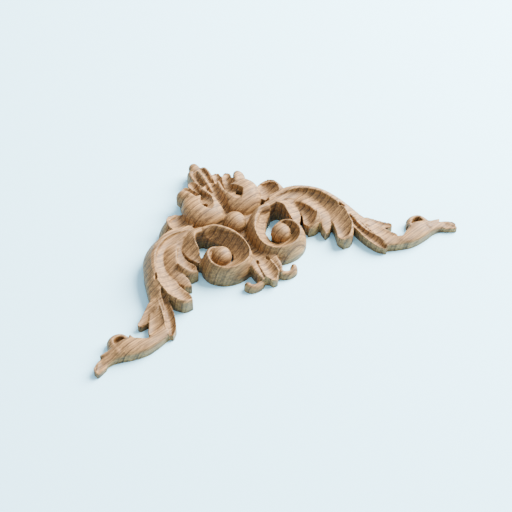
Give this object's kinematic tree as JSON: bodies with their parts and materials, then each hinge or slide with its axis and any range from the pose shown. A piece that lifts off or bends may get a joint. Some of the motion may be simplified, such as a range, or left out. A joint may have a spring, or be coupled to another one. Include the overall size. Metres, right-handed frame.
{
  "type": "corner onlay",
  "caption": "Carved wood corner onlay: leafy legs and scrolls round a ball under a shell crest, flat on the back for fixing to a panel corner.",
  "frame": {"origin": "on the flat back, under the middle of the ball", "axes": "+Z out of the carved face, +Y towards the point of the crest along the plane of symmetry, +X towards the tip of the right leg"},
  "size_m": [0.3606, 0.1849, 0.026],
  "materials": {
    "oak": "bare sanded open-grained wood, unfinished"
  },
  "bodies": {
    "root": {"corner_onlay": "oak"}
  },
  "joints": []
}
